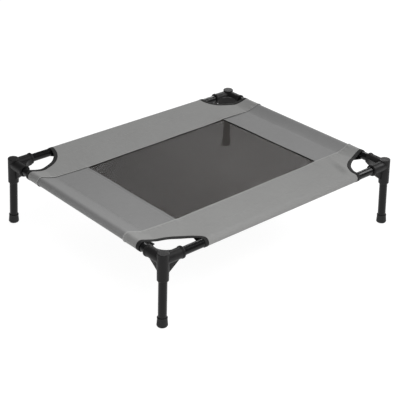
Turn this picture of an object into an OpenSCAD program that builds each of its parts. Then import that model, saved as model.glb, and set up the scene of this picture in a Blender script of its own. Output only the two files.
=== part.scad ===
// Raised cot for a dog: a push-together tube frame on four legs, with a cloth cover stretched over it.
// Lengths are in millimetres. X runs along the long side, Y along the short side and Z up.
// The origin is on the floor under the middle of the cot.

/* [Frame] */
// Distance between the leg sockets along the long side, centre to centre at rail height
frame_l = 720; // [560:5:1100]
// Distance between the leg sockets along the short side, centre to centre at rail height
frame_w = 580; // [440:5:900]
// Height of the rail centres above the floor
rail_z = 162; // [120:1:260]
// Outward lean of each leg, along the diagonal of its corner
leg_splay = 3; // [0:0.5:6]

/* [Tubes] */
// Outside diameter of the rail and leg tubes
tube_d = 20; // [16:0.5:26]
// Wall of the rail and leg tubes
tube_wall = 1.2; // [0.8:0.1:2]
// Radial play of a tube in a socket or a foot
socket_play = 0.1; // [0.05:0.05:0.3]
// Space between the end of a tube and the bottom of its socket
end_play = 0.2; // [0.1:0.1:1]

/* [Corner connectors] */
// Plastic round the bore of a rail socket
socket_wall = 3; // [2:0.1:5]
// Distance from the leg axis to the mouth of a rail socket
arm_reach = 52; // [42:1:80]
// How deep a rail goes into its socket
rail_depth = 36; // [20:1:60]
// Length of the collar at the mouth of a rail socket
collar_l = 7; // [4:0.5:12]
// How far the collar stands out from its socket
collar_rise = 1.5; // [0.5:0.1:3]
// Plastic round the bore of the leg socket at its mouth
hub_wall = 3.1; // [2:0.1:5]
// How much the leg socket widens towards its closed top, on the radius
hub_draft = 0.6; // [0:0.1:1.5]
// Height of the flat top above the rail centres
hub_rise = 16; // [14:0.5:30]
// Depth of the leg socket's mouth below the rail centres
hub_drop = 50; // [40:1:80]
// How deep a leg goes into its socket
leg_depth = 38; // [24:1:64]
// Rounding of the connector's outer edges
connector_round = 1.5; // [0.5:0.1:3]
// Thickness of the rib under each rail socket
gusset_t = 7; // [4:0.5:12]
// Depth of the rib on the leg socket, below the rail centres
gusset_drop = 37; // [24:1:46]
// Thickness of the web between the two rail sockets
web_t = 15.5; // [2:0.5:17]
// Depth of the web's underside below the rail centres
web_drop = 11; // [0:0.5:12]
// Radius of the web's hollow edge
web_round = 35; // [24:1:60]

/* [Feet] */
// Height of the rubber foot
foot_h = 22; // [14:1:40]
// Outside diameter of the foot on the floor
foot_d = 25.6; // [22:0.1:34]
// Outside diameter of the foot below its lip
foot_neck_d = 23; // [21:0.1:32]
// Height of the lip round the foot's mouth
foot_lip_h = 3; // [1.5:0.5:6]
// How far the lip stands out from the foot, on the radius
foot_lip = 0.5; // [0.2:0.1:1.5]
// Rubber between the end of the leg and the floor
foot_base = 4; // [2:0.5:8]

/* [Cover] */
// Thickness of one layer of cloth
cloth_t = 0.8; // [0.4:0.1:1.5]
// Length of the mesh window
window_l = 462; // [300:1:900]
// Width of the mesh window
window_w = 334; // [220:1:700]
// How far one layer runs under the next at a sewn seam
seam_lap = 12; // [6:1:20]
// Space between a rail and the sleeve round it, on the radius
sleeve_play = 0.8; // [0.6:0.1:3]
// Distance from a rail's centre to the inside of its sleeve's closing seam
sleeve_reach = 40; // [24:1:60]
// Reach of a corner opening along the long rail, from the leg axis
cut_long = 104; // [70:1:150]
// Reach of a corner opening along the short rail, from the leg axis
cut_short = 72; // [64:1:120]
// Width of the tape that binds a corner opening
tape_w = 9; // [6:0.5:16]
// Thickness of the tape
tape_t = 0.5; // [0.3:0.1:0.8]

/* [Hidden] */
$fn = 64;
metal = [0.13, 0.13, 0.14];
plastic = [0.17, 0.17, 0.17];
rubber = [0.10, 0.10, 0.10];
grey_cloth = [0.55, 0.55, 0.55];
black_mesh = [0.28, 0.28, 0.28];
black_tape = [0.09, 0.09, 0.09];
tube_r = tube_d / 2;
bore_r = tube_r + socket_play;
arm_r = bore_r + socket_wall;
collar_r = arm_r + collar_rise;
rail_stop = arm_reach - rail_depth;
hub_r = bore_r + hub_wall;
hub_top_r = hub_r + hub_draft;
leg_top = leg_depth - hub_drop;
floor_on_leg = -rail_z / cos(leg_splay);
gusset_reach = arm_reach - collar_l;
// The web's hollow edge runs out on the two rail sockets, so its centre is one radius out from them.
web_centre = arm_r + web_round;
sleeve_r = tube_r + sleeve_play;
over_r = sleeve_r + cloth_t;
// Angle from the sleeve's flat side to the place where the cloth leaves the rail
fan = acos(sleeve_r / sleeve_reach);
over_reach = over_r / cos(fan);
seam_x = (frame_l - window_l) / 2;
seam_y = (frame_w - window_w) / 2;
tall = 4 * over_r;

// Points on an arc about c, from angle a0 to angle a1
function arc(c, r, a0, a1, n) =
    [for (i = [0:n]) let (a = a0 + (a1 - a0) * i / n) c + r * [cos(a), sin(a)]];

// Outline of a sleeve of radius r round a rail at the origin, closing towards +X
function teardrop(r) = concat([[r / cos(fan), 0]], arc([0, 0], r, fan, 360 - fan, 28));

function ellipse(a, b) = [for (i = [0:71]) [a * cos(5 * i), b * sin(5 * i)]];

// Puts a child drawn for the front left corner, with its rails along +X and +Y, on any corner.
module at_corner(sx, sy) {
    translate([sx * frame_l / 2, sy * frame_w / 2, rail_z])
        mirror([sx > 0 ? 1 : 0, 0, 0])
            mirror([0, sy > 0 ? 1 : 0, 0])
                children();
}

// Puts a child drawn for the front rail, with the cover towards +Y, on the front or the rear.
module at_long_side(sy) {
    translate([0, sy * frame_w / 2, rail_z])
        mirror([0, sy > 0 ? 1 : 0, 0])
            children();
}

// Puts a child drawn for the left end, with the cover towards +X, on either end.
module at_end(sx) {
    translate([sx * frame_l / 2, 0, rail_z])
        mirror([sx > 0 ? 1 : 0, 0, 0])
            children();
}

// Tilts a child that stands on Z so that its lower end leans out of the corner.
module on_leg_axis() {
    rotate(a = leg_splay, v = [-1, 1, 0])
        children();
}

module tube(l) {
    difference() {
        cylinder(h = l, r = tube_r);
        translate([0, 0, -1])
            cylinder(h = l + 2, r = tube_r - tube_wall);
    }
}

// Outside of the leg socket, closed at the top and chamfered at the mouth
module hub() {
    rotate_extrude()
        polygon(concat([[0, -hub_drop],
                        [hub_r - connector_round, -hub_drop],
                        [hub_r, connector_round - hub_drop]],
                       arc([hub_top_r - connector_round, hub_rise - connector_round],
                           connector_round, 0, 90, 4),
                       [[0, hub_rise]]));
}

// Outside of a rail socket along Z, with a stepped collar round its mouth
module arm() {
    step_z = arm_reach - collar_l;
    rim_z = arm_reach - 0.6 * collar_l;
    rotate_extrude()
        polygon(concat([[0, 0],
                        [arm_r, 0],
                        [arm_r, step_z],
                        [arm_r + 0.5 * collar_rise, step_z + 0.5 * collar_rise],
                        [arm_r + 0.5 * collar_rise, rim_z - 0.5 * collar_rise],
                        [collar_r, rim_z]],
                       arc([collar_r - connector_round, arm_reach - connector_round],
                           connector_round, 0, 90, 4),
                       [[0, arm_reach]]));
}

module rail_bore() {
    translate([0, 0, rail_stop])
        cylinder(h = arm_reach, r = bore_r);
}

// Rib under a rail socket, in the XZ plane
module gusset() {
    rotate([90, 0, 0])
        linear_extrude(gusset_t, center = true)
            polygon([[0, 0],
                     [gusset_reach, 0],
                     [gusset_reach, 1 - arm_r],
                     [hub_r - 1, -gusset_drop],
                     [0, -gusset_drop]]);
}

// Thick web that ties the two rail sockets together
module web() {
    translate([0, 0, -web_drop])
        linear_extrude(web_t)
            difference() {
                square(gusset_reach);
                translate([web_centre, web_centre])
                    circle(r = web_round);
            }
}

module connector(sx, sy) {
    color(plastic)
        at_corner(sx, sy)
            difference() {
                union() {
                    on_leg_axis()
                        hub();
                    rotate([0, 90, 0])
                        arm();
                    rotate([-90, 0, 0])
                        arm();
                    gusset();
                    rotate([0, 0, 90])
                        gusset();
                    web();
                }
                on_leg_axis()
                    translate([0, 0, -2 * hub_drop])
                        cylinder(h = 2 * hub_drop + leg_top + end_play, r = bore_r);
                rotate([0, 90, 0])
                    rail_bore();
                rotate([-90, 0, 0])
                    rail_bore();
            }
}

module long_rail(sy) {
    l = frame_l - 2 * (rail_stop + end_play);
    color(metal)
        translate([-l / 2, sy * frame_w / 2, rail_z])
            rotate([0, 90, 0])
                tube(l);
}

module end_rail(sx) {
    l = frame_w - 2 * (rail_stop + end_play);
    color(metal)
        translate([sx * frame_l / 2, -l / 2, rail_z])
            rotate([-90, 0, 0])
                tube(l);
}

module leg(sx, sy) {
    color(metal)
        at_corner(sx, sy)
            on_leg_axis()
                translate([0, 0, floor_on_leg + foot_base])
                    tube(leg_top - floor_on_leg - foot_base);
}

// Rubber cap on the end of a leg, cut level where it stands on the floor
module foot(sx, sy) {
    neck_z = floor_on_leg + foot_h - foot_lip_h;
    mouth_r = foot_neck_d / 2 + foot_lip;
    color(rubber)
        at_corner(sx, sy)
            difference() {
                on_leg_axis()
                    rotate_extrude()
                        polygon(concat([[0, floor_on_leg - 2],
                                        [foot_d / 2 - 2.5, floor_on_leg - 2],
                                        [foot_d / 2 - 1.2, floor_on_leg + 0.6],
                                        [foot_d / 2, floor_on_leg + 2.4],
                                        [foot_neck_d / 2, neck_z],
                                        [mouth_r, neck_z + foot_lip]],
                                       arc([mouth_r - 0.8, floor_on_leg + foot_h - 0.8], 0.8, 0, 90, 3),
                                       [[0, floor_on_leg + foot_h]]));
                on_leg_axis()
                    translate([0, 0, floor_on_leg + foot_base])
                        cylinder(h = foot_h, r = bore_r);
                translate([-foot_d, -foot_d, -rail_z - foot_d])
                    cube([2 * foot_d, 2 * foot_d, foot_d]);
            }
}

// Cross-section of a sleeve, o thicker on each face than the cloth
module sleeve_section(r, o) {
    difference() {
        polygon(teardrop(r + cloth_t + o));
        polygon(teardrop(r - o));
    }
}

// Strip of cloth across a section, from u0 to u1, with its underside at v
module strip(u0, u1, v, o) {
    translate([u0, v - o])
        square([u1 - u0, cloth_t + 2 * o]);
}

// Long panel before its corners are cut: the sleeve on the long rail and a short sleeve on each end rail
module long_sheet(o) {
    translate([over_reach - frame_l / 2, 0, 0])
        rotate([90, 0, 90])
            linear_extrude(frame_l - 2 * over_reach)
                union() {
                    sleeve_section(sleeve_r, o);
                    strip(sleeve_reach, seam_y, 0, o);
                    strip(sleeve_reach, sleeve_reach + seam_lap, -cloth_t, o);
                }
    for (m = [0, 1])
        mirror([m, 0, 0])
            translate([-frame_l / 2, seam_y, 0])
                rotate([90, 0, 0])
                    linear_extrude(seam_y)
                        sleeve_section(over_r, o);
}

// Upright block over a corner opening, grown by g
module corner_block(g) {
    linear_extrude(tall, center = true)
        polygon(ellipse(cut_long + g, cut_short + g));
}

module long_panel(sy) {
    color(grey_cloth)
        difference() {
            at_long_side(sy)
                union() {
                    long_sheet(0);
                    translate([-window_l / 2, seam_y - seam_lap, -cloth_t])
                        cube([window_l, seam_lap, cloth_t]);
                }
            for (sx = [-1, 1])
                at_corner(sx, sy)
                    corner_block(tape_t);
            for (sx = [-1, 1])
                end_sheet(sx);
        }
}

// End panel: a sleeve on the end rail and a flat part whose edges run under the long panels
module end_sheet(sx) {
    w = window_w + 2 * seam_lap;
    at_end(sx)
        translate([0, w / 2, 0])
            rotate([90, 0, 0])
                linear_extrude(w)
                    union() {
                        sleeve_section(sleeve_r, 0);
                        strip(sleeve_reach, seam_x, -cloth_t, 0);
                        strip(sleeve_reach, sleeve_reach + seam_lap, -2 * cloth_t, 0);
                    }
}

module end_panel(sx) {
    color(grey_cloth)
        end_sheet(sx);
}

// Mesh in the middle, sewn to the underside of the four panels
module mesh_panel() {
    l = window_l + 2 * seam_lap;
    w = window_w + 2 * seam_lap;
    color(black_mesh)
        translate([-l / 2, -w / 2, rail_z - 2 * cloth_t])
            cube([l, w, cloth_t]);
}

// Tape folded over the raw edge of a corner opening, round the mouths of both sleeves
module tape(sx, sy) {
    color(black_tape)
        difference() {
            intersection() {
                at_long_side(sy)
                    long_sheet(tape_t);
                at_corner(sx, sy)
                    difference() {
                        corner_block(tape_w);
                        corner_block(0);
                    }
            }
            difference() {
                at_long_side(sy)
                    long_sheet(0);
                at_corner(sx, sy)
                    corner_block(tape_t);
            }
        }
}

connector(-1, -1);  // connector_front_left
connector(1, -1);  // connector_front_right
connector(-1, 1);  // connector_rear_left
connector(1, 1);  // connector_rear_right
long_rail(-1);  // long_rail_front
long_rail(1);  // long_rail_rear
end_rail(-1);  // end_rail_left
end_rail(1);  // end_rail_right
leg(-1, -1);  // leg_front_left
leg(1, -1);  // leg_front_right
leg(-1, 1);  // leg_rear_left
leg(1, 1);  // leg_rear_right
foot(-1, -1);  // foot_front_left
foot(1, -1);  // foot_front_right
foot(-1, 1);  // foot_rear_left
foot(1, 1);  // foot_rear_right
mesh_panel();
end_panel(-1);  // end_panel_left
end_panel(1);  // end_panel_right
long_panel(-1);  // long_panel_front
long_panel(1);  // long_panel_rear
tape(-1, -1);  // tape_front_left
tape(1, -1);  // tape_front_right
tape(-1, 1);  // tape_rear_left
tape(1, 1);  // tape_rear_right
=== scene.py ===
# Raised dog cot: a push-together tube frame on four legs, with a sewn cloth cover stretched over it.
# Sizes are in millimetres and are turned to metres as each mesh is written. X is the long side and Z is up.
import math
from bisect import bisect
import bmesh
import bpy
from mathutils import Matrix, Vector


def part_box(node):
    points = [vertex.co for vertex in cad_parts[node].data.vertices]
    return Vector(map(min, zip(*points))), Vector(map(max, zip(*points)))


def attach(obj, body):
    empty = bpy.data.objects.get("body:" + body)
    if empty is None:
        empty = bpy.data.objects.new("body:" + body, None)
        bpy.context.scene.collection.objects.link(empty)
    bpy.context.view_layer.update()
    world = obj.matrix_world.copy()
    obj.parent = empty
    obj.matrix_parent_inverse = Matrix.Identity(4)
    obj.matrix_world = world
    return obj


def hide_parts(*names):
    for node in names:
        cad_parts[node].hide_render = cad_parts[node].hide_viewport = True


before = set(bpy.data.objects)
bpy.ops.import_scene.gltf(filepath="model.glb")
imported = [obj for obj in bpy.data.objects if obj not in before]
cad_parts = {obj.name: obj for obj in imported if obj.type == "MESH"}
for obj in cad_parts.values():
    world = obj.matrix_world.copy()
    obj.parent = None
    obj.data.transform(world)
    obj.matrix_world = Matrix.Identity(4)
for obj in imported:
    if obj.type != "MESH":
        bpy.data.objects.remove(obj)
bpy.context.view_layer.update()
MM = 0.001


# Camera: a short telephoto above the front left corner, as in the photograph, with the horizon almost level.
# Its angle, distance and lens were fitted to the corners, the feet and the seams.
CAMERA_AZIMUTH = math.radians(-42.05)
CAMERA_ELEVATION = math.radians(28.29)
CAMERA_ROLL = math.radians(1.57)
CAMERA_DISTANCE = 2628
CAMERA_LENS = 93.8
CAMERA_SENSOR = 36
LOOK_AT = Vector((-7.0, -9.2, 67.6))


def direction(azimuth, elevation):
    """Unit vector from the cot towards a camera or a lamp. Azimuth 0 is in front of the long side."""
    level = math.cos(elevation)
    return Vector((math.sin(azimuth) * level, -math.cos(azimuth) * level, math.sin(elevation)))


camera_data = bpy.data.cameras.new("camera")
camera_data.lens = CAMERA_LENS
camera_data.sensor_width = CAMERA_SENSOR
camera = bpy.data.objects.new("camera", camera_data)
bpy.context.scene.collection.objects.link(camera)
camera_back = direction(CAMERA_AZIMUTH, CAMERA_ELEVATION)
camera_turn = camera_back.to_track_quat("Z", "Y").to_matrix() @ Matrix.Rotation(CAMERA_ROLL, 3, "Z")
camera.matrix_world = Matrix.LocRotScale(
    (LOOK_AT + CAMERA_DISTANCE * camera_back) * MM, camera_turn, None)
bpy.context.scene.camera = camera


# Studio: a shooting table of white acrylic, lit from below so that shadows on it stay faint, under soft
# light. The main light stands beyond the right end. A small one close to the front makes the front panel
# the lightest, and a weak one behind gives the black parts their highlights.
FLOOR_SIZE = 16000
FLOOR_HEX = "7C7C7C"
FLOOR_GLOW = 0.93
FLOOR_FROST = 4
FLOOR_RELIEF = 0.2
SKY_STRENGTH = 0.2
# Each light's azimuth and elevation in degrees, its distance, its width and its power in watts
LIGHTS = {
    "key_light": (72, 35, 6000, 2600, 158),
    "front_light": (-32, 55, 1240, 800, 6.3),
    "back_light": (130, 30, 2800, 900, 16),
}


def linear(hex_colour):
    """An sRGB hex colour as linear red, green, blue and alpha."""
    parts = [int(hex_colour[k:k + 2], 16) / 255 for k in (0, 2, 4)]
    return [c / 12.92 if c <= 0.04045 else ((c + 0.055) / 1.055) ** 2.4 for c in parts] + [1]


def add_node(tree, kind, inputs=None, **settings):
    """Adds a node with its settings. An input is a value, or a socket that is linked to it. A mix takes its
    two inputs by number, 2 and 3 for values or 6 and 7 for colours, because they share their names."""
    made = tree.nodes.new(kind)
    for name, value in settings.items():
        setattr(made, name, value)
    for name, value in (inputs or {}).items():
        if isinstance(value, bpy.types.NodeSocket):
            tree.links.new(value, made.inputs[name])
        else:
            made.inputs[name].default_value = value
    return made


def new_material(name):
    """An empty material and its node tree."""
    material = bpy.data.materials.new(name)
    material.use_nodes = True
    material.node_tree.nodes.clear()
    return material, material.node_tree


def add_piece(name, bm, material):
    """Makes an object from a mesh, with smooth faces and one material."""
    for face in bm.faces:
        face.smooth = True
    mesh = bpy.data.meshes.new(name)
    bm.to_mesh(mesh)
    bm.free()
    mesh.materials.append(material)
    piece = bpy.data.objects.new(name, mesh)
    bpy.context.scene.collection.objects.link(piece)
    return piece


# Opal acrylic: a translucent sheet that spreads the light from below evenly, frosted by sanding. The frost
# is drawn coarser than life.
opal_acrylic, tree = new_material("frosted_opal_acrylic")
place = add_node(tree, "ShaderNodeTexCoord")
frost = add_node(tree, "ShaderNodeTexNoise", {
    "Vector": place.outputs["Object"], "Scale": 1 / (FLOOR_FROST * MM), "Detail": 2.0})
frost_bump = add_node(tree, "ShaderNodeBump", {
    "Height": frost.outputs["Fac"], "Strength": 0.05, "Distance": FLOOR_RELIEF * MM})
shader = add_node(tree, "ShaderNodeBsdfPrincipled", {
    "Base Color": linear(FLOOR_HEX), "Roughness": 0.9, "Specular IOR Level": 0.1,
    "Emission Color": linear("FFFFFF"), "Emission Strength": FLOOR_GLOW,
    "Normal": frost_bump.outputs["Normal"]})
add_node(tree, "ShaderNodeOutputMaterial", {"Surface": shader.outputs["BSDF"]})

bm = bmesh.new()
bmesh.ops.create_grid(bm, x_segments=1, y_segments=1, size=FLOOR_SIZE / 2 * MM)
floor = add_piece("floor", bm, opal_acrylic)

for name, (azimuth, elevation, distance, width, power) in LIGHTS.items():
    light = bpy.data.lights.new(name, "AREA")
    light.size = width * MM
    light.energy = power
    lamp = bpy.data.objects.new(name, light)
    away = direction(math.radians(azimuth), math.radians(elevation))
    lamp.matrix_world = Matrix.LocRotScale(
        (LOOK_AT + distance * away) * MM, away.to_track_quat("Z", "Y"), None)
    lamp.visible_camera = False
    bpy.context.scene.collection.objects.link(lamp)

# The room gives little light. Where a low camera sees past the table, it looks as white as the table does.
sky = bpy.data.worlds.new("sky")
sky.use_nodes = True
tree = sky.node_tree
tree.nodes.clear()
ray = add_node(tree, "ShaderNodeLightPath")
glow = add_node(tree, "ShaderNodeMapRange", {
    "Value": ray.outputs["Is Camera Ray"], "To Min": SKY_STRENGTH, "To Max": 1.0})
shader = add_node(tree, "ShaderNodeBackground", {
    "Color": linear("FFFFFF"), "Strength": glow.outputs["Result"]})
add_node(tree, "ShaderNodeOutputWorld", {"Surface": shader.outputs["Background"]})
bpy.context.scene.world = sky
bpy.context.scene.view_settings.view_transform = "Standard"


# Rails and legs: round steel tube, powder coated black, cut square and pushed into the corner connectors.
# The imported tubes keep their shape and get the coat.
CORNERS = ("front_left", "front_right", "rear_left", "rear_right")
TUBES = ("long_rail_front", "long_rail_rear", "end_rail_left", "end_rail_right",
         *(f"leg_{corner}" for corner in CORNERS))
COAT_PEEL = 2.2
COAT_SCUFF = 14
COAT_RELIEF = 0.2


def coat_node(name, material):
    """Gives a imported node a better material."""
    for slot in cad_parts[name].material_slots:
        slot.material = material


# Powder coat: a thick cured film with a soft gloss. It flows out with a fine orange peel, which is drawn two
# to three times coarser than life so that it shows, and handling leaves duller patches.
powder_coat, tree = new_material("black_powder_coat")
place = add_node(tree, "ShaderNodeTexCoord")
peel = add_node(tree, "ShaderNodeTexNoise", {
    "Vector": place.outputs["Object"], "Scale": 1 / (COAT_PEEL * MM), "Detail": 1.0})
scuff = add_node(tree, "ShaderNodeTexNoise", {
    "Vector": place.outputs["Object"], "Scale": 1 / (COAT_SCUFF * MM), "Detail": 5.0, "Roughness": 0.65})
gloss = add_node(tree, "ShaderNodeMapRange", {
    "Value": scuff.outputs["Fac"], "From Min": 0.3, "From Max": 0.75, "To Min": 0.14, "To Max": 0.32})
shade = add_node(tree, "ShaderNodeMix", {
    "Factor": scuff.outputs["Fac"], 6: linear("0C0C0D"), 7: linear("151516")}, data_type="RGBA")
bump = add_node(tree, "ShaderNodeBump", {
    "Height": peel.outputs["Fac"], "Strength": 0.1, "Distance": COAT_RELIEF * MM})
shader = add_node(tree, "ShaderNodeBsdfPrincipled", {
    "Base Color": shade.outputs[2], "Roughness": gloss.outputs["Result"], "Specular IOR Level": 0.22,
    "Normal": bump.outputs["Normal"]})
add_node(tree, "ShaderNodeOutputMaterial", {"Surface": shader.outputs["BSDF"]})

for name in TUBES:
    coat_node(name, powder_coat)


# Corner connectors: one black moulding each, with a socket for the leg and two for the rails, stiffened by
# ribs and a web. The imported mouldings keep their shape.
MOULD_GRAIN = 1.1
MOULD_FLOW = 18
MOULD_RELIEF = 0.2

# Polypropylene: satin, with the fine sparked grain of its mould, drawn about twice as coarse as life, and
# broad duller flow marks.
polypropylene, tree = new_material("black_moulded_polypropylene")
place = add_node(tree, "ShaderNodeTexCoord")
grain = add_node(tree, "ShaderNodeTexNoise", {
    "Vector": place.outputs["Object"], "Scale": 1 / (MOULD_GRAIN * MM), "Detail": 3.0})
flow = add_node(tree, "ShaderNodeTexNoise", {
    "Vector": place.outputs["Object"], "Scale": 1 / (MOULD_FLOW * MM), "Detail": 3.0, "Distortion": 0.8})
gloss = add_node(tree, "ShaderNodeMapRange", {
    "Value": flow.outputs["Fac"], "From Min": 0.3, "From Max": 0.7, "To Min": 0.38, "To Max": 0.52})
shade = add_node(tree, "ShaderNodeMix", {
    "Factor": flow.outputs["Fac"], 6: linear("1B1B1C"), 7: linear("272626")}, data_type="RGBA")
bump = add_node(tree, "ShaderNodeBump", {
    "Height": grain.outputs["Fac"], "Strength": 0.16, "Distance": MOULD_RELIEF * MM})
shader = add_node(tree, "ShaderNodeBsdfPrincipled", {
    "Base Color": shade.outputs[2], "Roughness": gloss.outputs["Result"], "Specular IOR Level": 0.18,
    "Normal": bump.outputs["Normal"]})
add_node(tree, "ShaderNodeOutputMaterial", {"Surface": shader.outputs["BSDF"]})

for corner in CORNERS:
    coat_node(f"connector_{corner}", polypropylene)


# Feet: black rubber caps pushed onto the lower ends of the legs, with a lip round the mouth.
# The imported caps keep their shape.
RUBBER_MOTTLE = 6
RUBBER_GRAIN = 0.9
RUBBER_RELIEF = 0.2

# Rubber: almost matt, with a faint grey bloom and the fine texture of its mould, drawn coarser than life.
rubber, tree = new_material("black_moulded_rubber")
place = add_node(tree, "ShaderNodeTexCoord")
mottle = add_node(tree, "ShaderNodeTexNoise", {
    "Vector": place.outputs["Object"], "Scale": 1 / (RUBBER_MOTTLE * MM), "Detail": 4.0})
grain = add_node(tree, "ShaderNodeTexNoise", {
    "Vector": place.outputs["Object"], "Scale": 1 / (RUBBER_GRAIN * MM), "Detail": 2.0})
shade = add_node(tree, "ShaderNodeMix", {
    "Factor": mottle.outputs["Fac"], 6: linear("1B1C1D"), 7: linear("2B2B2B")}, data_type="RGBA")
bump = add_node(tree, "ShaderNodeBump", {
    "Height": grain.outputs["Fac"], "Strength": 0.2, "Distance": RUBBER_RELIEF * MM})
shader = add_node(tree, "ShaderNodeBsdfPrincipled", {
    "Base Color": shade.outputs[2], "Roughness": 0.66, "Specular IOR Level": 0.3,
    "Normal": bump.outputs["Normal"]})
add_node(tree, "ShaderNodeOutputMaterial", {"Surface": shader.outputs["BSDF"]})

for corner in CORNERS:
    coat_node(f"foot_{corner}", rubber)


# Mesh panel: an open net of coated polyester yarns, laid across each other and fused where they cross.
# Its edges lie under the four cloth panels, which are sewn to it, with a narrow dark facing tape underneath
# that shows inside the hems as painted shade under their edges.
def middle_of(node):
    """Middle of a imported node."""
    low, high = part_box(node)
    return (low + high) / 2 / MM


RAIL_X = middle_of("end_rail_right").x
RAIL_Y = middle_of("long_rail_rear").y
RAIL_Z = middle_of("long_rail_rear").z
TUBE_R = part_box("long_rail_rear")[1].z / MM - RAIL_Z
WINDOW_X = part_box("end_panel_right")[0].x / MM
WINDOW_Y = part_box("long_panel_rear")[0].y / MM
MESH_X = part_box("mesh_panel")[1].x / MM
MESH_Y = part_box("mesh_panel")[1].y / MM
# Levels are heights above the middle of the rails.
MESH_LEVEL = -2.45
# The photograph shows the hems round the mesh sewn a few millimetres off. An end panel's lies to the right,
# and a long panel's to the rear, by its first number at the middle and by its second more for each
# millimetre along it.
SEWN_ACROSS = {"left": (3.5, 0), "right": (5.1, -0.0186)}
SEWN_ALONG = {"front": (-5.0, 0.0127), "rear": (-0.8, 0.018)}
# The yarns are drawn coarser than life, so that the net shows.
YARN_PITCH = 2.4
WARP_WIDTH = 2.1
WEFT_WIDTH = 1.38
YARN_THICKNESS = 0.4
YARN_STREAK = 5
YARN_RELIEF = 0.2
# The facing tape shows a little inside the hems, as a dark line of painted shade beneath their edges.
FACING_LEVEL = -3.4
FACING_T = 0.4
FACING_SHADE_SHOWS = 1.0

# Coated yarn: a dull vinyl skin over a twisted core, with slight changes of shade along each yarn.
coated_yarn, tree = new_material("black_vinyl_coated_yarn")
place = add_node(tree, "ShaderNodeTexCoord")
streak = add_node(tree, "ShaderNodeTexNoise", {
    "Vector": place.outputs["Object"], "Scale": 1 / (YARN_STREAK * MM), "Detail": 3.0})
shade = add_node(tree, "ShaderNodeMix", {
    "Factor": streak.outputs["Fac"], 6: linear("383432"), 7: linear("44403E")}, data_type="RGBA")
bump = add_node(tree, "ShaderNodeBump", {
    "Height": streak.outputs["Fac"], "Strength": 0.2, "Distance": YARN_RELIEF * MM})
shader = add_node(tree, "ShaderNodeBsdfPrincipled", {
    "Base Color": shade.outputs[2], "Roughness": 0.7, "Specular IOR Level": 0.12,
    "Normal": bump.outputs["Normal"]})
add_node(tree, "ShaderNodeOutputMaterial", {"Surface": shader.outputs["BSDF"]})


def sewn_shift(x, edge):
    """How far to the rear a long panel's hem is sewn, at x. Over the end rails it is true."""
    near = max(-WINDOW_X, min(x, WINDOW_X))
    middle, turn = SEWN_ALONG[edge]
    return (middle + turn * near) * max(0, 1 - abs(x - near) / (RAIL_X - WINDOW_X))


def lay_yarns(bm, width, half_across, half_along, turn, level):
    """A row of flat yarns side by side, each a stretched hexagon, at one level of the net."""
    count = round(2 * half_across / YARN_PITCH)
    flatten = Matrix.Diagonal((width / 2, YARN_THICKNESS / 2, 1, 1))
    lie_down = Matrix.Rotation(math.pi / 2, 4, "X")
    point_sideways = Matrix.Rotation(math.pi / 6, 4, "Z")
    for k in range(count):
        across = (k + 0.5 - count / 2) * YARN_PITCH
        at = turn @ Matrix.Translation((across, 0, RAIL_Z + level)) @ lie_down @ flatten @ point_sideways
        bmesh.ops.create_cone(bm, cap_ends=True, segments=6, radius1=1, radius2=1,
                              depth=2 * half_along, matrix=Matrix.Scale(MM, 4) @ at)


quarter_turn = Matrix.Rotation(math.pi / 2, 4, "Z")
bm = bmesh.new()
lay_yarns(bm, WARP_WIDTH, MESH_X, MESH_Y, Matrix.Identity(4), MESH_LEVEL - YARN_THICKNESS / 2)
lay_yarns(bm, WEFT_WIDTH, MESH_Y, MESH_X, quarter_turn, MESH_LEVEL + YARN_THICKNESS / 2)
mesh_net = add_piece("mesh_net", bm, coated_yarn)

bm = bmesh.new()
flat = bmesh.ops.create_grid(bm, x_segments=1, y_segments=1, size=MM)
bmesh.ops.scale(bm, vec=(MESH_X, MESH_Y, 1), verts=flat["verts"])
bmesh.ops.translate(bm, vec=(0, 0, (RAIL_Z + FACING_LEVEL) * MM), verts=flat["verts"])
bmesh.ops.inset_region(bm, faces=bm.faces[:], use_boundary=True, use_even_offset=True,
                       thickness=(MESH_X - WINDOW_X + FACING_SHADE_SHOWS) * MM)
window = max(bm.faces, key=lambda face: face.calc_area())
bmesh.ops.delete(bm, geom=[window], context="FACES_ONLY")
bmesh.ops.solidify(bm, geom=bm.faces[:], thickness=FACING_T * MM)
for v in bm.verts:
    x, y = v.co.xy / MM
    middle, turn = SEWN_ACROSS["right" if x > 0 else "left"]
    v.co.x += (middle + turn * y) * MM
    v.co.y += sewn_shift(x, "rear" if y > 0 else "front") * MM
# Painted shade: the dark tape stands in for the shade beneath the hems' edges.
facing_tape_painted_shade = add_piece("mesh_facing_tape_painted_shade", bm, coated_yarn)
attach(facing_tape_painted_shade, "frame")
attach(mesh_net, "frame")
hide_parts("mesh_panel")


# End panels: grey woven cloth, cut as one rectangle each. It is hemmed and sewn to the mesh with two rows of
# stitches, and folded round the end rail into a sleeve, which a third row closes.
LAP = MESH_X - WINDOW_X
CLOTH_T = 0.6
# A sleeve's play round its rail, its radius, and how far in from the middle of the rail it is closed
SLEEVE_PLAY = 0.6
SLEEVE_R = TUBE_R + SLEEVE_PLAY
CLOSING = 40
# The panel's level at the hem, the power by which it climbs to the rail, and how far below it the cloth
# comes back
END_TOP = -1.05
END_CLIMB = 1.3
END_DROP = 0.8
# A hem is turned under round a small radius, painted paler beside the fold as a painted highlight, and curls
# up a little there.
HEM_R = 0.36
HEM_TURN = math.pi * HEM_R
HEM_HIGHLIGHT = 3.2
HEM_LIFT = 1.1
HEM_CURL = 2.0
# How far out from the hem the rows of its seam are, and how far from the sleeve the third row is
SEAM_ROWS = (2.4, 8.4)
END_CLOSING_ROW = 2
# Each row draws the cloth into a groove, with puckers on both sides whose spacing drifts along the row.
SEAM_DEPTH = 0.3
SEAM_WIDTH = 1.1
PUCKER = 0.16
PUCKER_PITCH = 13
PUCKER_REACH = 9
PUCKER_UNEVEN = 2
PUCKER_DRIFT = 37
# Waves of slack cloth: the spread of each along X and along Y, and its height
SLACK_WAVES = ((31, 47, 0.4), (23, -29, 0.3), (61, 13, 0.15))
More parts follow.
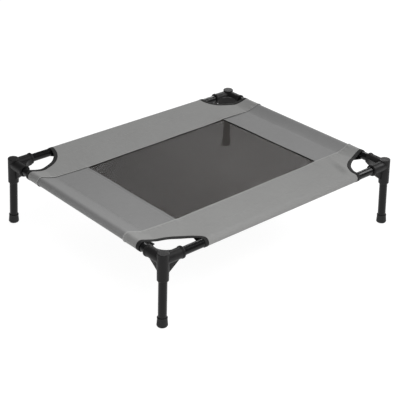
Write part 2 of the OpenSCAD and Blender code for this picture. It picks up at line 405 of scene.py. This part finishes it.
# Distances between points of a mesh: on open cloth, near a seam and to a margin past it, round a sleeve, and
# round a tight fold
CLOTH_STEP = 3.0
SEAM_STEP = 0.8
SEAM_MARGIN = 3
SLEEVE_STEP = 2.4
TURN_STEP = 0.3
# Points of the line that cloth follows: their spacing round a rail, in radians, the least distance between
# two, and the spacing of those that are averaged to ease its creases
ROUND_STEP = 0.1
POINTS_APART = 0.01
EASE = 1.2
# Spacing of the threads, the length and width of slubs in them, and the depth of the weave
WEAVE = 1.5
SLUB_LONG = 26
SLUB_FINE = 1.3
WEAVE_RELIEF = 0.25
# Scale at which the straight bands of a wave texture are one unit apart
ONE_BAND = 2 * math.pi / 20


def steps(start, end, size):
    """Evenly spaced values from start to end, about size apart."""
    count = max(1, round(abs(end - start) / size))
    return [start + (end - start) * k / count for k in range(count + 1)]


def along_line(points):
    """A function that gives the place at any length along a line of points, and the length of the line."""
    lengths = [0]
    for here, there in zip(points, points[1:]):
        lengths.append(lengths[-1] + (there - here).length)

    def place_at(length):
        k = min(max(bisect(lengths, length) - 1, 0), len(points) - 2)
        return points[k].lerp(points[k + 1], (length - lengths[k]) / (lengths[k + 1] - lengths[k]))

    return place_at, lengths[-1]


def panel_line(reach, level, power, radius, top, drop):
    """Line that cloth follows from its hem, over its rail and back under it to the closing seam, as
    distances out from the hem and up from the rail, with the line's length. It is level at first and then
    climbs, evenly for a power of 1 and ever more steeply for 2."""
    lean = math.atan(power * (radius - top) / (reach - level))
    crest = Vector((reach - radius * math.sin(lean), radius * math.cos(lean)))

    def height(out):
        return top + (crest.y - top) * max(0, (out - level) / (crest.x - level)) ** power

    climb = [Vector((out, height(out)))
             for out in [0] + steps(level + POINTS_APART, crest.x, CLOTH_STEP)]
    turn = [Vector((reach + radius * math.cos(angle), radius * math.sin(angle)))
            for angle in steps(math.pi / 2 + lean, -math.pi / 2 - lean, ROUND_STEP)[1:]]
    back = [Vector((reach - away, height(reach - away) - drop)) for away in (CLOSING, CLOSING + LAP)]
    return along_line(climb + turn + back)


def fold(q, line):
    """Where cloth lies at q out from its hem: how far out, how high, and how far it faces out and up. Behind
    the hem it is turned under. The mean of five places eases the creases."""
    if q < 0:
        angle = min(-q / HEM_R, math.pi)
        tucked = max(0, -q - HEM_TURN)
        return (tucked - HEM_R * math.sin(angle), line(0).y - HEM_R * (1 - math.cos(angle)),
                -math.sin(angle), math.cos(angle))
    near = [line(q + k * EASE) for k in range(-2, 3)]
    mean = sum(near, Vector((0, 0))) / len(near)
    along = (near[-1] - near[0]).normalized()
    return mean.x, mean.y, -along.y, along.x


def hem_lift(out):
    """How far a hem curls up, at its distance out from the fold."""
    return HEM_LIFT * math.exp(-(out / HEM_CURL) ** 2)


def ramp(value, span):
    """Rises from 0 at 0 to 1 at span, and stays level on both sides."""
    return min(1, max(0, value / span))


def smooth_ramp(value, span):
    """A ramp that is rounded at both ends."""
    share = ramp(value, span)
    return share * share * (3 - 2 * share)


def slack(x, y):
    """How far stretched cloth lies off its true shape: broad shallow waves in three directions."""
    return sum(height * math.sin(x / a + y / b + a) for a, b, height in SLACK_WAVES)


def sewn(p, q, rows):
    """How rows of stitches at q draw the cloth in: a groove along each, and puckers on both sides of it."""
    wave = PUCKER * math.sin(2 * math.pi * p / PUCKER_PITCH + PUCKER_UNEVEN * math.sin(p / PUCKER_DRIFT))
    return sum(wave * math.exp(-((q - row) / PUCKER_REACH) ** 2)
               - SEAM_DEPTH * math.exp(-((q - row) / SEAM_WIDTH) ** 2) for row in rows)


def add_grid(bm, columns, rows, at):
    """Adds a grid whose point in column i and row j is at(i, j), along, across and above the flat cloth."""
    made = bmesh.ops.create_grid(bm, x_segments=columns - 1, y_segments=rows - 1, size=1)
    for v in made["verts"]:
        i = round((v.co.x + 1) / 2 * (columns - 1))
        j = round((v.co.y + 1) / 2 * (rows - 1))
        v.co = at(i, j)


def mark_threads(bm):
    """Writes each point's place on the flat cloth to the UV map, in metres, for the weave to follow."""
    threads = bm.loops.layers.uv.new("threads")
    for face in bm.faces:
        for loop in face.loops:
            loop[threads].uv = loop.vert.co.xy * MM


def fold_flat(bm, lay, mirrored):
    """Lays flat work on the frame. A mirrored layout turns faces over, so they are turned back."""
    for v in bm.verts:
        v.co = lay(*v.co) * MM
    if mirrored:
        bmesh.ops.reverse_faces(bm, faces=bm.faces[:])


def thicken(piece, thickness):
    """Gives a sheet its thickness, half to each side."""
    solid = piece.modifiers.new("thickness", "SOLIDIFY")
    solid.thickness = thickness * MM
    solid.offset = 0


def oxford_cloth(name, dark_hex, light_hex, fold_highlight_hex):
    """Woven polyester: a matt plain weave with slubs along the threads in both directions, and a painted
    highlight beside the hem's fold. The threads are about 0.5 mm apart in life and are drawn three times
    coarser, to show."""
    material, tree = new_material(name)
    threads = add_node(tree, "ShaderNodeUVMap", uv_map="threads")
    warp = add_node(tree, "ShaderNodeTexWave", {
        "Vector": threads.outputs["UV"], "Scale": ONE_BAND / (WEAVE * MM)}, bands_direction="X")
    weft = add_node(tree, "ShaderNodeTexWave", {
        "Vector": threads.outputs["UV"], "Scale": ONE_BAND / (WEAVE * MM)}, bands_direction="Y")
    over = add_node(tree, "ShaderNodeTexChecker", {
        "Vector": threads.outputs["UV"], "Scale": 1 / (WEAVE * MM)})
    weave = add_node(tree, "ShaderNodeMix", {
        "Factor": over.outputs["Fac"], 2: warp.outputs["Fac"], 3: weft.outputs["Fac"]})
    slubs = []
    for across, along in ((SLUB_FINE, SLUB_LONG), (SLUB_LONG, SLUB_FINE)):
        stretch = add_node(tree, "ShaderNodeMapping", {
            "Vector": threads.outputs["UV"], "Scale": (1 / (across * MM), 1 / (along * MM), 1)})
        slubs.append(add_node(tree, "ShaderNodeTexNoise", {
            "Vector": stretch.outputs["Vector"], "Scale": 1.0, "Detail": 2.0}))
    slub = add_node(tree, "ShaderNodeMix", {
        "Factor": 0.5, 2: slubs[0].outputs["Fac"], 3: slubs[1].outputs["Fac"]})
    tone = add_node(tree, "ShaderNodeMapRange", {
        "Value": slub.outputs[0], "From Min": 0.34, "From Max": 0.66, "To Min": 0.1, "To Max": 0.9})
    deep = add_node(tree, "ShaderNodeMix", {
        "Factor": 0.3, 2: tone.outputs["Result"], 3: weave.outputs[0]})
    shade = add_node(tree, "ShaderNodeMix", {
        "Factor": deep.outputs[0], 6: linear(dark_hex), 7: linear(light_hex)}, data_type="RGBA")
    # Painted highlight: the cloth is painted paler within a few millimetres of the hem's fold.
    split = add_node(tree, "ShaderNodeSeparateXYZ", {"Vector": threads.outputs["UV"]})
    from_hem = add_node(tree, "ShaderNodeMath", {0: split.outputs["Y"]}, operation="ABSOLUTE")
    fold_highlight = add_node(tree, "ShaderNodeMapRange", {
        "Value": from_hem.outputs["Value"], "From Min": 0.0, "From Max": HEM_HIGHLIGHT * MM,
        "To Min": 0.9, "To Max": 0.0})
    highlighted = add_node(tree, "ShaderNodeMix", {
        "Factor": fold_highlight.outputs["Result"], 6: shade.outputs[2], 7: linear(fold_highlight_hex)}, data_type="RGBA")
    bump = add_node(tree, "ShaderNodeBump", {
        "Height": weave.outputs[0], "Strength": 0.22, "Distance": WEAVE_RELIEF * MM})
    shader = add_node(tree, "ShaderNodeBsdfPrincipled", {
        "Base Color": highlighted.outputs[2], "Roughness": 0.82, "Specular IOR Level": 0.25,
        "Sheen Weight": 0.06, "Sheen Roughness": 0.5, "Normal": bump.outputs["Normal"]})
    add_node(tree, "ShaderNodeOutputMaterial", {"Surface": shader.outputs["BSDF"]})
    return material


# Stitches: their spacing, half the length, width and height of one, and how far above the cloth it lies
STITCH_PITCH = 3.6
STITCH_SIZE = (1.45, 0.38, 0.26)
STITCH_RISE = 0.12
STITCH_H = CLOTH_T / 2 + STITCH_RISE
# Spacing and depth of the twist in the thread
THREAD_TWIST = 0.5
THREAD_RELIEF = 0.1


def sewing_thread(name, dark_hex, light_hex):
    """Spun polyester thread: dull, with the twist of its strands showing as slanting stripes."""
    material, tree = new_material(name)
    place = add_node(tree, "ShaderNodeTexCoord")
    strands = add_node(tree, "ShaderNodeTexWave", {
        "Vector": place.outputs["Object"], "Scale": ONE_BAND / (THREAD_TWIST * MM)},
        bands_direction="DIAGONAL")
    shade = add_node(tree, "ShaderNodeMix", {
        "Factor": strands.outputs["Fac"], 6: linear(dark_hex), 7: linear(light_hex)}, data_type="RGBA")
    bump = add_node(tree, "ShaderNodeBump", {
        "Height": strands.outputs["Fac"], "Strength": 0.3, "Distance": THREAD_RELIEF * MM})
    shader = add_node(tree, "ShaderNodeBsdfPrincipled", {
        "Base Color": shade.outputs[2], "Roughness": 0.7, "Specular IOR Level": 0.3,
        "Normal": bump.outputs["Normal"]})
    add_node(tree, "ShaderNodeOutputMaterial", {"Surface": shader.outputs["BSDF"]})
    return material


def sew(bm, place, angle, height):
    """Adds one stitch to flat work: a short length of thread pulled down at both ends."""
    bmesh.ops.create_icosphere(
        bm, subdivisions=1, radius=1, matrix=Matrix.Translation((*place, height))
        @ Matrix.Rotation(angle, 4, "Z") @ Matrix.Diagonal((*STITCH_SIZE, 1)))


def add_stitching(name, bm, lay, mirrored, thread):
    """Lays a panel's stitches on the frame, as one piece."""
    fold_flat(bm, lay, mirrored)
    stitching = add_piece(name, bm, thread)
    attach(stitching, "frame")
    return stitching


# The end panels get a copy of the long panels' cloth painted a shade darker: painted shade for the weaker
# sheen of its threads, which run across the cot.
end_cloth_painted_shade = oxford_cloth("grey_oxford_cloth_across_painted_shade", "838383", "919191", "A0A0A0")
# The grey thread is painted paler than the cloth: painted light that offsets the shade round each raised
# stitch.
paler_thread_painted_light = sewing_thread("grey_polyester_thread_painted_paler", "9C9C9B", "B6B6B5")


def lay_end(side, start, turn, line, rows):
    """How a right or left end panel's flat cloth is laid: p across the cot, q out from the hem."""
    def lay(p, q, h):
        out, up, facing_out, facing_up = fold(q, line)
        up += hem_lift(out)
        free = ramp(RAIL_X - start - out, CLOSING)
        h += slack(out, p) * facing_up * free + (sewn(p, q, rows) if q > 0 else 0)
        near_hem = 1 - ramp(out, CLOSING)
        x = side * (start + out + h * facing_out) + turn * p * near_hem
        return Vector((x, p + sewn_shift(side * start, "rear") * near_hem, RAIL_Z + up + h * facing_up))
    return lay


# Places across a panel, from the turned edge of its hem to just past the seam
hem = steps(-HEM_TURN - LAP, -HEM_TURN, CLOTH_STEP) + steps(-HEM_TURN, 0, TURN_STEP)[1:]
hem += steps(0, SEAM_ROWS[-1] + SEAM_MARGIN, SEAM_STEP)[1:]
end_along = steps(-MESH_Y, MESH_Y, CLOTH_STEP)
for end, side in (("left", -1), ("right", 1)):
    middle, turn = SEWN_ACROSS[end]
    start = WINDOW_X + side * middle
    reach = RAIL_X - start
    line, length = panel_line(reach, reach - CLOSING, END_CLIMB, SLEEVE_R, END_TOP, END_DROP)
    rows = (*SEAM_ROWS, reach - CLOSING - END_CLOSING_ROW)
    lay = lay_end(side, start, turn, line, rows)
    bm = bmesh.new()
    for row in rows:
        for p in steps(-WINDOW_Y, WINDOW_Y, STITCH_PITCH):
            sew(bm, (p, row), 0, STITCH_H)
    stitching = add_stitching(f"end_panel_stitching_{end}", bm, lay, side > 0, paler_thread_painted_light)

    end_across = hem + steps(hem[-1], length, SLEEVE_STEP)[1:]
    bm = bmesh.new()
    add_grid(bm, len(end_along), len(end_across), lambda i, j: (end_along[i], end_across[j], 0))
    mark_threads(bm)
    fold_flat(bm, lay, side > 0)
    panel = add_piece(f"end_panel_cloth_{end}", bm, end_cloth_painted_shade)
    thicken(panel, CLOTH_T)
    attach(panel, "frame")
    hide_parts(f"end_panel_{end}")


# Long panels: the same cloth, laid over the end panels and sewn to them and to the mesh. Each has a sleeve
# for the long rail, a flap at each end that folds round the end rail, and an arched cut at both corners.
TAPE_W = 9
CUT_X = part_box("tape_front_left")[1].x / MM + RAIL_X - TAPE_W
CUT_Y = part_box("tape_front_left")[1].y / MM + RAIL_Y - TAPE_W
# How much longer along X and Y each corner's cut is sewn than the pattern, how far its edge sags, and the
# power of its curve, as the photograph shows. A power of 2 is an ellipse.
CUT_SEWN = {"front_left": (7, -3, 5, 2), "front_right": (1, 3, 0, 1.75), "rear_left": (4, 3, 0, 2),
            "rear_right": (-7, -6, 0, 2)}
# Tension folds beside a cut: their height, their reach as a share of the cut's size, how many a full turn
# would have, and how near the rail they fade
CUT_FOLD = 0.5
CUT_FOLD_REACH = 0.3
CUT_FOLD_COUNT = 9
CUT_FOLD_FADE = 25
# How far the seam draws the cloth down to the mesh, over what length that begins, and how far it reaches
SEAM_DIP = 1.2
SEAM_EASE = 12
SEAM_REACH = 24
# A flap lies over the end panel's sleeve and ends this far back under the end rail.
FLAP_PLAY = 1.7
FLAP_R = TUBE_R + FLAP_PLAY
FLAP_DROP = 3.55
FLAP_BACK = 32
FLAP_LEVEL = RAIL_X - CLOSING
LONG_TOP = 0.35
LONG_CLIMB = 2
LONG_DROP = 0.8
LONG_REACH = RAIL_Y - WINDOW_Y
LONG_CLOSING_ROW = 3
long_line, LONG_LENGTH = panel_line(LONG_REACH, 0, LONG_CLIMB, SLEEVE_R, LONG_TOP, LONG_DROP)
flap_line, flap_whole = panel_line(RAIL_X, FLAP_LEVEL, END_CLIMB, FLAP_R, LONG_TOP, FLAP_DROP)
FLAP_LENGTH = flap_whole - LAP - (CLOSING - FLAP_BACK)
FINE_STEP = 1
# Where the cloth is furthest out round each rail. From there on the cuts run straight to the seam.
LONG_SIDE = max(steps(0, LONG_LENGTH, FINE_STEP), key=lambda q: long_line(q).x)
FLAP_SIDE = max(steps(0, FLAP_LENGTH, FINE_STEP), key=lambda p: flap_line(p).x)
# Rounds that find a place on the cloth, and the distance within which points of two grids become one
FIND_ROUNDS = 6
MERGE_WITHIN = 0.02


def cut_size(edge, end):
    """How far a corner cut reaches from the corner along the long rail and the end rail, how far its edge
    sags, and the power of its curve."""
    more_x, more_y, sag, power = CUT_SEWN[f"{edge}_{'right' if end > 0 else 'left'}"]
    return CUT_X + more_x, CUT_Y + more_y, sag, power


def cut_y(x, size):
    """Where a corner cut's edge is at x, in plan."""
    size_x, size_y, _, power = size
    return RAIL_Y - size_y * (1 - (max(0, RAIL_X - x) / size_x) ** power) ** (1 / power)


def cut_x(y, size):
    """Where a corner cut's edge is at y, in plan."""
    size_x, size_y, _, power = size
    return RAIL_X - size_x * (1 - (max(0, RAIL_Y - y) / size_y) ** power) ** (1 / power)


def across_at(y):
    """Place across a long panel that lies at y, in plan, between the hem and the rail."""
    out = y - WINDOW_Y
    q = out
    for _ in range(FIND_ROUNDS):
        q += out - fold(q, long_line)[0]
    return q


# A corner cut's edge crosses from the panel's open part to its sleeve here.
SPLIT = across_at(RAIL_Y - CLOSING)
long_cloth = oxford_cloth("grey_oxford_cloth_along", "8C8C8B", "9B9B9A", "ABABAA")


def cut_folds(x, y, size):
    """Tension folds and the sag of the edge, which run out from a corner cut and die away."""
    size_x, size_y, sag, _ = size
    along, across = (RAIL_X - x) / size_x, (RAIL_Y - y) / size_y
    turn = math.atan2(across, along)
    away = max(0, math.hypot(along, across) - 1)
    waves = -CUT_FOLD * math.cos(CUT_FOLD_COUNT * turn) - sag * math.cos(turn) ** 2
    return waves * math.sin(2 * turn) * math.exp(-away / CUT_FOLD_REACH)


# One deeper fold beside the front right corner, as in the photograph: the two ends of its line in plan, how
# far the cloth lifts beyond the line, over what width, and how far on the lift dies away. Where along the
# line it is highest, and how wide it spreads from there, are shares of the line's length.
FOLD_START = Vector((258, -190))
FOLD_END = Vector((226, -262))
FOLD_LIFT = 5.0
FOLD_WIDTH = 20
FOLD_FADE = 15
FOLD_PEAK = 0.65
FOLD_SPREAD = 0.6


def deep_fold(x, y):
    """How far the cloth lifts beyond the deeper fold's line."""
    line = FOLD_END - FOLD_START
    place = Vector((x, y)) - FOLD_START
    beyond = (place.y * line.x - place.x * line.y) / line.length / FOLD_WIDTH
    along = place.dot(line) / line.length_squared - FOLD_PEAK
    lift = smooth_ramp(beyond, 1) * math.exp(-max(0, beyond - 1) * FOLD_WIDTH / FOLD_FADE)
    return FOLD_LIFT * lift * math.exp(-(along / FOLD_SPREAD) ** 2)


def seam_dip(x, out):
    """How far a long panel's seam draws it down to the mesh, between the end panels and near the hem."""
    return SEAM_DIP * smooth_ramp(WINDOW_X - abs(x), SEAM_EASE) * math.exp(-(out / SEAM_REACH) ** 2)


def lay_long(edge):
    """How a front or rear long panel's flat cloth is laid: p along the cot, q out from the hem. Where it
    crosses an end rail, that rail alone holds it up."""
    side = 1 if edge == "rear" else -1

    def lay(p, q, h):
        out_x, up_x, facing_x, rise_x = fold(abs(p), flap_line)
        out_y, up_y, facing_y, rise_y = fold(q, long_line)
        hold = ramp(RAIL_X - abs(p), CLOSING)
        fade = ramp(LONG_REACH - out_y, CUT_FOLD_FADE) * hold
        x, y = math.copysign(out_x, p), WINDOW_Y + out_y
        h += slack(x, out_y) * hold * ramp(LONG_REACH - out_y, CLOSING) * rise_y
        h += sewn(p, q, SEAM_ROWS) if q > 0 else 0
        over = up_y - LONG_TOP
        over = (over * hold if over > 0 else over) + hem_lift(out_y) - seam_dip(x, out_y) + h * rise_y
        over += (cut_folds(out_x, y, cut_size(edge, p)) + deep_fold(x, side * y)) * fade
        shift = sewn_shift(x, edge) * max(0, 1 - out_y / LONG_REACH)
        x = math.copysign(out_x + over * facing_x, p)
        return Vector((x, side * (y + h * facing_y) + shift, RAIL_Z + up_x + over * rise_x))
    return lay


def cut_q(p, size):
    """Last point across a long panel at p, on a corner cut in its open part."""
    return across_at(cut_y(fold(p, flap_line)[0] if p < FLAP_SIDE else RAIL_X, size))


def cut_p(q, size):
    """Last point along a long panel at q, on its sleeve."""
    return cut_x(WINDOW_Y + fold(q, long_line)[0] if q < LONG_SIDE else RAIL_Y, size)


def lay_out_long(edge):
    """The flat cloth of a long panel, as a mesh: one grid from the hem to the sleeve or the cuts, and one
    for the sleeve."""
    left, right = cut_size(edge, -1), cut_size(edge, 1)
    turns = [-cut_p(SPLIT, left), cut_p(SPLIT, right)]
    left_flap = steps(-FLAP_LENGTH, turns[0], SLEEVE_STEP)[:-1]
    middle = steps(*turns, CLOTH_STEP)
    right_flap = steps(turns[1], FLAP_LENGTH, SLEEVE_STEP)[1:]
    along = left_flap + middle + right_flap
    ends = ([cut_q(-p, left) for p in left_flap] + [SPLIT] * len(middle)
            + [cut_q(p, right) for p in right_flap])
    shares = steps(0, 1, CLOTH_STEP / (SPLIT - hem[-1]))[1:]
    round_rail = steps(SPLIT, LONG_LENGTH, SLEEVE_STEP)
    mouths = [(-cut_p(q, left), cut_p(q, right)) for q in round_rail]

    def open_part(i, j):
        across = hem[j] if j < len(hem) else hem[-1] + shares[j - len(hem)] * (ends[i] - hem[-1])
        return along[i], across, 0

    def sleeve_part(i, j):
        first, last = mouths[j]
        return first + (last - first) * i / (len(middle) - 1), round_rail[j], 0

    bm = bmesh.new()
    add_grid(bm, len(along), len(hem) + len(shares), open_part)
    add_grid(bm, len(middle), len(round_rail), sleeve_part)
    bmesh.ops.remove_doubles(bm, verts=bm.verts[:], dist=MERGE_WITHIN)
    mark_threads(bm)
    return bm


for edge in ("front", "rear"):
    turned = edge == "front"
    lay = lay_long(edge)
    bm = bmesh.new()
    for row in SEAM_ROWS:
        for p in steps(-FLAP_LENGTH + STITCH_PITCH, FLAP_LENGTH - STITCH_PITCH, STITCH_PITCH):
            sew(bm, (p, row), 0, STITCH_H)
    first = TAPE_W - cut_p(SPLIT, cut_size(edge, -1))
    last = cut_p(SPLIT, cut_size(edge, 1)) - TAPE_W
    for p in steps(first, last, STITCH_PITCH):
        sew(bm, (p, SPLIT - LONG_CLOSING_ROW), 0, STITCH_H)
    stitching = add_stitching(f"long_panel_stitching_{edge}", bm, lay, turned, paler_thread_painted_light)

    bm = lay_out_long(edge)
    flat_area = sum(face.calc_area() for face in bm.faces)
    fold_flat(bm, lay, turned)
    panel = add_piece(f"long_panel_cloth_{edge}", bm, long_cloth)
    thicken(panel, CLOTH_T)
    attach(panel, "frame")
    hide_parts(f"long_panel_{edge}")


# Binding tapes: black ribbed tape folded over the raw edge of each corner cut and sewn through, from the
# underside of the end flap, round the arch, to the underside of the long sleeve.
TAPE_T = 0.42
TAPE_PLAY = 0.3
TAPE_H = CLOTH_T / 2 + TAPE_PLAY
TAPE_FOLD = math.pi * TAPE_H
TAPE_ROW = 7
TAPE_STITCH_H = TAPE_H + TAPE_T / 2 + STITCH_RISE
TAPE_RIB = 1.6
TAPE_FLECK = 3
TAPE_RELIEF = 0.3

# Grosgrain: dull polyester with ribs straight across the tape, drawn about twice as coarse as life.
grosgrain, tree = new_material("black_grosgrain_tape")
threads = add_node(tree, "ShaderNodeUVMap", uv_map="threads")
rib = add_node(tree, "ShaderNodeTexWave", {
    "Vector": threads.outputs["UV"], "Scale": ONE_BAND / (TAPE_RIB * MM)}, bands_direction="X")
fleck = add_node(tree, "ShaderNodeTexNoise", {
    "Vector": threads.outputs["UV"], "Scale": 1 / (TAPE_FLECK * MM), "Detail": 3.0})
tone = add_node(tree, "ShaderNodeMix", {"Factor": 0.5, 2: rib.outputs["Fac"], 3: fleck.outputs["Fac"]})
shade = add_node(tree, "ShaderNodeMix", {
    "Factor": tone.outputs[0], 6: linear("121212"), 7: linear("272727")}, data_type="RGBA")
bump = add_node(tree, "ShaderNodeBump", {
    "Height": rib.outputs["Fac"], "Strength": 0.4, "Distance": TAPE_RELIEF * MM})
shader = add_node(tree, "ShaderNodeBsdfPrincipled", {
    "Base Color": shade.outputs[2], "Roughness": 0.8, "Specular IOR Level": 0.3,
    "Sheen Weight": 0.05, "Normal": bump.outputs["Normal"]})
add_node(tree, "ShaderNodeOutputMaterial", {"Surface": shader.outputs["BSDF"]})
black_thread = sewing_thread("black_polyester_thread", "141414", "2C2C2C")


def corner_edge(edge, end, step):
    """Points on the flat cloth along a corner cut, step apart, with the direction into the cloth at each."""
    size = cut_size(edge, end)
    flap = [Vector((p, cut_q(p, size))) for p in steps(FLAP_LENGTH, cut_p(SPLIT, size), FINE_STEP)]
    sleeve = [Vector((cut_p(q, size), q)) for q in steps(SPLIT, LONG_LENGTH, FINE_STEP)[1:]]
    place_at, length = along_line(flap + sleeve)
    cut = []
    for s in steps(0, length, step):
        point = place_at(s)
        along = (place_at(s + FINE_STEP) - place_at(s - FINE_STEP)).normalized()
        cut.append((Vector((end * point.x, point.y)), Vector((-end * along.y, along.x))))
    return cut, length


# Places across the tape, from its edge on top of the cloth, over the fold, to its edge underneath
tape_across = (steps(0, TAPE_W, CLOTH_STEP) + steps(TAPE_W, TAPE_W + TAPE_FOLD, TURN_STEP)[1:]
               + steps(TAPE_W + TAPE_FOLD, 2 * TAPE_W + TAPE_FOLD, CLOTH_STEP)[1:])


def across_tape(t):
    """How far into the cloth, and how high above it, a place across the tape is."""
    if t < TAPE_W:
        return TAPE_W - t, TAPE_H
    angle = (t - TAPE_W) / TAPE_H
    if angle < math.pi:
        return -TAPE_H * math.sin(angle), TAPE_H * math.cos(angle)
    return t - TAPE_W - TAPE_FOLD, -TAPE_H


for corner in CORNERS:
    edge = corner.split("_")[0]
    end = 1 if "right" in corner else -1
    turned = edge == "front"
    lay = lay_long(edge)
    bm = bmesh.new()
    for point, inward in corner_edge(edge, end, STITCH_PITCH)[0]:
        angle = math.atan2(inward.y, inward.x) + math.pi / 2
        sew(bm, point + TAPE_ROW * inward, angle, TAPE_STITCH_H)
    stitching = add_stitching(f"tape_stitching_{corner}", bm, lay, turned, black_thread)

    cut, length = corner_edge(edge, end, SLEEVE_STEP)
    bm = bmesh.new()
    add_grid(bm, len(cut), len(tape_across), lambda i, j: (i, tape_across[j], 0))
    places = {v: (cut[round(v.co.x)], across_tape(v.co.y)) for v in bm.verts}
    for v in bm.verts:
        v.co.x *= length / (len(cut) - 1)
    mark_threads(bm)
    for v, ((point, inward), (into, above)) in places.items():
        v.co = (*(point + into * inward), above)
    fold_flat(bm, lay, turned == (end < 0))
    tape = add_piece(f"tape_binding_{corner}", bm, grosgrain)
    thicken(tape, TAPE_T)
    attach(tape, "frame")
    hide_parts(f"tape_{corner}")
